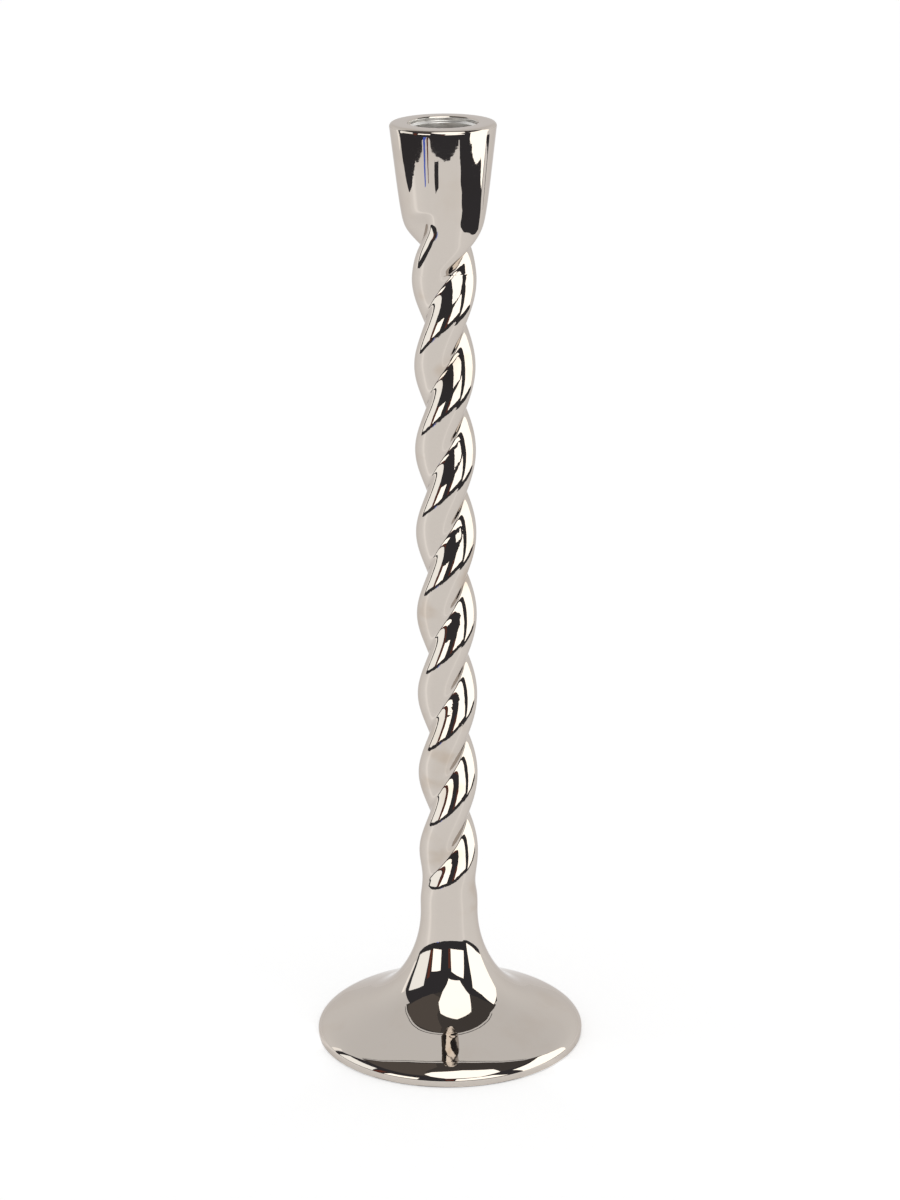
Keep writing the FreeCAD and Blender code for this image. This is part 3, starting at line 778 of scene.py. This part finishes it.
def make_room():
    """What the metal shows of the studio: a dark room before the tent, with bright windows in it."""
    glows = {name: emission(name, *values) for name, values in GLOWS.items()}
    edges = np.linspace(-90, 90, WALL_PANES + 1)
    for i, (left, right) in enumerate(zip(edges, edges[1:])):
        corners = ((left, WALL_LOW), (right, WALL_LOW), (right, ROOF), (left, ROOF))
        card(f"room_{i}", [around_room(a, h, WALL) for a, h in corners], glows["dark_room"])
    for name, kind, distance, corners in UPRIGHT_PANES:
        card(name, [around_room(a, h, distance) for a, h in corners], glows[kind])
    for name, kind, height, corners in LEVEL_CARDS:
        card(name, [(x, y, height) for x, y in corners], glows[kind])
    for name, kind, line in TAPES:
        tape(name, line, glows[kind])
    card("overhead_light", [overhead(a, e) for a, e in LIGHT_CORNERS], glows["overhead_light"])


def make_table():
    """The white table: a matt board that also glows, and that takes the object's own shadow."""
    made = bpy.data.materials.new("white_table")
    made.use_nodes = True
    tree = made.node_tree
    tree.nodes.clear()
    place = add(tree, "ShaderNodeTexCoord")
    turn = add(tree, "ShaderNodeTexGradient", gradient_type="RADIAL")
    bands = add(tree, "ShaderNodeValToRGB")
    bands.color_ramp.interpolation = "EASE"
    levels = bands.color_ramp.elements
    while len(levels) < len(TABLE_BANDS):
        levels.new(0.5)
    # The gradient runs from 0 at azimuth -90 round to 1 at 270.
    for level, (azimuth, strength) in zip(levels, TABLE_BANDS):
        level.position = (azimuth + 90) / 360
        level.color = (strength, strength, strength, 1)
    path = add(tree, "ShaderNodeLightPath")
    white = add(tree, "ShaderNodeEmission", Color=WHITE)
    matt = add(tree, "ShaderNodeBsdfDiffuse", Color=TABLE_COLOUR)
    both = add(tree, "ShaderNodeAddShader")
    mix = add(tree, "ShaderNodeMixShader")
    out = add(tree, "ShaderNodeOutputMaterial")
    link = tree.links.new
    link(place.outputs["Object"], turn.inputs["Vector"])
    link(turn.outputs["Fac"], bands.inputs["Fac"])
    link(bands.outputs["Color"], white.inputs["Strength"])
    link(white.outputs["Emission"], both.inputs[0])
    link(matt.outputs["BSDF"], both.inputs[1])
    link(bright_to(tree, path), mix.inputs["Fac"])
    link(matt.outputs["BSDF"], mix.inputs[1])
    link(both.outputs["Shader"], mix.inputs[2])
    link(mix.outputs["Shader"], out.inputs["Surface"])
    flat_piece("table", [(x, y, 0) for x, y in TABLE_EDGE], made)


def make_world():
    """A white tent: white to the camera, falling off towards the top in the metal, dimmer on the rest."""
    world = bpy.data.worlds.new("tent")
    bpy.context.scene.world = world
    world.use_nodes = True
    tree = world.node_tree
    tree.nodes.clear()
    path = add(tree, "ShaderNodeLightPath")
    level = add(tree, "ShaderNodeMapRange", To_Min=TENT, To_Max=1.0)
    look = add(tree, "ShaderNodeTexCoord")
    split = add(tree, "ShaderNodeSeparateXYZ")
    fall = add(tree, "ShaderNodeMapRange", interpolation_type="SMOOTHSTEP",
               From_Min=FALL_FROM[0], From_Max=FALL_TO[0], To_Min=FALL_FROM[1], To_Max=FALL_TO[1])
    dim = add(tree, "ShaderNodeMath", operation="MULTIPLY")
    # The number mix's inputs are its share, 0, and its two numbers, 2 and 3.
    pick = add(tree, "ShaderNodeMix", data_type="FLOAT")
    back = add(tree, "ShaderNodeBackground", Color=WHITE)
    out = add(tree, "ShaderNodeOutputWorld")
    link = tree.links.new
    link(bright_to(tree, path), level.inputs["Value"])
    link(look.outputs["Generated"], split.inputs["Vector"])
    link(split.outputs["Z"], fall.inputs["Value"])
    link(level.outputs["Result"], dim.inputs[0])
    link(fall.outputs["Result"], dim.inputs[1])
    link(path.outputs["Is Camera Ray"], pick.inputs[0])
    link(dim.outputs["Value"], pick.inputs[2])
    link(level.outputs["Result"], pick.inputs[3])
    link(pick.outputs[0], back.inputs["Strength"])
    link(back.outputs["Background"], out.inputs["Surface"])


def make_camera():
    """The camera at the photograph's place."""
    data = bpy.data.cameras.new("camera")
    data.sensor_width = SENSOR
    data.lens = SENSOR * FOCAL_PIXELS / PHOTO_PIXELS
    data.shift_x = SHIFT_X_PIXELS / PHOTO_PIXELS
    data.shift_y = SHIFT_Y_PIXELS / PHOTO_PIXELS
    data.clip_start = 0.01
    camera = bpy.data.objects.new("camera", data)
    bpy.context.scene.collection.objects.link(camera)
    tilt = Matrix.Rotation(math.pi / 2 - CAMERA_PITCH, 4, "X")
    roll = Matrix.Rotation(-CAMERA_ROLL, 4, "Z")
    camera.matrix_world = Matrix.Translation((0, -CAMERA_DISTANCE, CAMERA_HEIGHT)) @ tilt @ roll
    bpy.context.scene.camera = camera


def dress_castings(groups):
    """Put a finely made, nickel-plated casting in place of the stem, the cup and the foot."""
    stem_plate = nickel_plate("polished_nickel_stem", groups,
                              clean=0.015, dull=0.04, waviness=0.18 * MM, most=0.9)
    cup_plate = nickel_plate("polished_nickel_cup", groups,
                             clean=0.012, dull=0.03, waviness=0.02 * MM, most=0.3)
    foot_plate = nickel_plate("polished_nickel_foot", groups,
                              clean=0.015, dull=0.05, waviness=0.03 * MM, most=0.2)
    # The socket's plate is a real satin finish, and its lighter colour is painted light inside the socket.
    socket_plate_with_painted_light = nickel_plate("satin_nickel_socket_with_painted_light", groups,
                                clean=0.3, dull=0.4, waviness=0.1 * MM, most=1.0, colour=SATIN_WITH_PAINTED_LIGHT)
    stem, cup, foot = make_stem(stem_plate), make_cup(cup_plate), make_foot(foot_plate)
    line_socket(cup, socket_plate_with_painted_light)
    for piece, node in ((stem, "twisted_stem"), (cup, "candle_cup"), (foot, "foot")):
        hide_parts(node)
        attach(piece, "root")


def lay_felt():
    """Put the cut felt disc in place of the plain one."""
    pad = make_felt(black_felt())
    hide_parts("felt_pad")
    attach(pad, "root")


def finish_hidden_pieces(smudges):
    """Give the fasteners and the board, whose CAD meshes stay, their own materials."""
    zinc = zinc_steel(smudges)
    fasteners = ("cup_screw", "foot_bolt", "flat_washer", "lock_washer")
    for node, finish in (*((name, zinc) for name in fasteners), ("backing_disc", grey_board())):
        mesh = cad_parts[node].data
        mesh.materials.clear()
        mesh.materials.append(finish)


def main():
    """Dress every piece and set the studio round it."""
    polish, smudges, tarnish = hand_polish_group(), smudge_group(), tarnish_group()
    dress_castings((polish, smudges, tarnish))
    lay_felt()
    finish_hidden_pieces(smudges)
    make_table()
    make_world()
    make_room()
    make_camera()
    bpy.context.scene.view_settings.view_transform = "Standard"


main()
